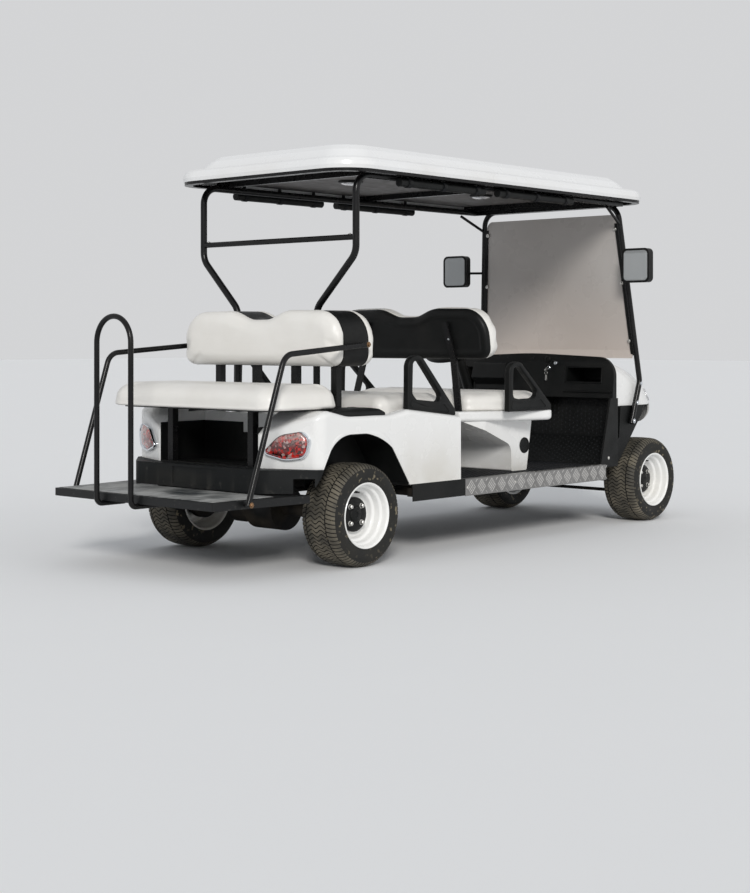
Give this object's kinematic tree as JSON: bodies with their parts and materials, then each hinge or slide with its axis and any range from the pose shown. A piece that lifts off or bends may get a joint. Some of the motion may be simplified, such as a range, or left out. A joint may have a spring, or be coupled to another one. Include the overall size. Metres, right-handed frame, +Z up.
{
  "type": "golf cart",
  "caption": "Electric golf cart with two forward benches, a rear-facing bench over a step, a hard roof on tube struts, a windshield and small wheels with turf tyres.",
  "frame": {"origin": "on the ground under the middle of the overall box", "axes": "+X towards the front, +Y towards the cart's left, +Z up"},
  "size_m": [3.71, 1.428, 1.911],
  "materials": {
    "body_white": "glossy moulded plastic, slightly warm white",
    "black_plastic": "grained moulded plastic",
    "black_steel": "satin black powder coat",
    "seat_vinyl": "soft satin vinyl with a fine grain",
    "tyre": "dull rubber with road dust",
    "rim_white": "glossy white enamel",
    "sill_aluminium": "bright checker plate",
    "step_plate": "dusty diamond tread",
    "floor_mat": "moulded rubber mat",
    "lamp_red": "clear glossy lens",
    "lamp_clear": "clear glossy lens",
    "windshield_clear": "clear with a milky film",
    "liner_grey": "matt moulded headliner"
  },
  "bodies": {
    "root": {"armrests": "black_steel", "backrest_pads": "seat_vinyl", "backrest_shells": "black_plastic", "battery_pack": "black_plastic", "chassis_frame": "black_steel", "curtain_rolls": "black_plastic", "dashboard": "black_plastic", "floor_pan": "floor_mat", "front_axle": "black_steel", "front_bulkhead": "black_plastic", "front_bumper": "body_white", "front_cowl": "body_white", "front_hoop": "black_steel", "front_pod": "body_white", "grab_hoop": "black_steel", "head_lamps": "lamp_clear", "hip_restraints": "black_plastic", "leaf_springs": "black_steel", "mirrors": "black_plastic", "pedals": "black_steel", "rear_axle": "black_steel", "rear_body": "body_white", "rear_bumper": "black_plastic", "rear_liners": "black_plastic", "rear_step": "step_plate", "rockers": "black_plastic", "roof": "body_white", "roof_frame": "black_steel", "roof_liner": "liner_grey", "seat_cushions": "seat_vinyl", "seat_frames": "black_steel", "sills": "sill_aluminium", "steering_column": "black_plastic", "tail_lamps": "lamp_red", "tray_caps": "black_plastic", "windshield": "windshield_clear", "windshield_channels": "black_plastic"},
    "knuckle_left": {"knuckle_left": "black_steel"},
    "knuckle_right": {"knuckle_right": "black_steel"},
    "tie_rod": {"tie_rod": "black_steel"},
    "steering_wheel": {"steering_wheel": "black_plastic"},
    "seat_lid": {"seat_lid": "black_plastic", "middle_cushion": "seat_vinyl"},
    "wheel_front_left": {"tyre_front_left": "tyre", "rim_front_left": "rim_white"},
    "wheel_front_right": {"tyre_front_right": "tyre", "rim_front_right": "rim_white"},
    "wheel_rear_left": {"tyre_rear_left": "tyre", "rim_rear_left": "rim_white"},
    "wheel_rear_right": {"tyre_rear_right": "tyre", "rim_rear_right": "rim_white"}
  },
  "joints": [
    {"name": "steer_left", "type": "hinge", "parent": "root", "child": "knuckle_left", "pos_m": [1.435, 0.365, 0.23], "axis": [0, 0, 1], "range_deg": [-28, 28]},
    {"name": "steer_right", "type": "hinge", "parent": "root", "child": "knuckle_right", "pos_m": [1.435, -0.365, 0.23], "axis": [0, 0, 1], "range_deg": [-28, 28]},
    {"name": "tie_rod_pivot", "type": "hinge", "parent": "knuckle_left", "child": "tie_rod", "pos_m": [1.325, 0.365, 0.18], "axis": [0, 0, 1], "range_deg": [-28, 28]},
    {"name": "steering_wheel_turn", "type": "hinge", "parent": "root", "child": "steering_wheel", "pos_m": [0.745, 0.27, 0.96], "axis": [-0.4156, 0, 0.9095], "range_deg": [-336, 336]},
    {"name": "lid_hinge", "type": "hinge", "parent": "root", "child": "seat_lid", "pos_m": [-0.29, 0, 0.645], "axis": [0, 1, 0], "range_deg": [0, 75]},
    {"name": "roll_front_left", "type": "hinge", "parent": "knuckle_left", "child": "wheel_front_left", "pos_m": [1.435, 0.485, 0.23], "axis": [0, 1, 0], "continuous": true},
    {"name": "roll_front_right", "type": "hinge", "parent": "knuckle_right", "child": "wheel_front_right", "pos_m": [1.435, -0.485, 0.23], "axis": [0, 1, 0], "continuous": true},
    {"name": "roll_rear_left", "type": "hinge", "parent": "root", "child": "wheel_rear_left", "pos_m": [-0.985, 0.522, 0.23], "axis": [0, 1, 0], "continuous": true},
    {"name": "roll_rear_right", "type": "hinge", "parent": "root", "child": "wheel_rear_right", "pos_m": [-0.985, -0.522, 0.23], "axis": [0, 1, 0], "continuous": true}
  ],
  "couplings": [
    {"joint": "steer_right", "follows": "steer_left", "ratio": 1},
    {"joint": "tie_rod_pivot", "follows": "steer_left", "ratio": -1},
    {"joint": "steering_wheel_turn", "follows": "steer_left", "ratio": 12}
  ]
}
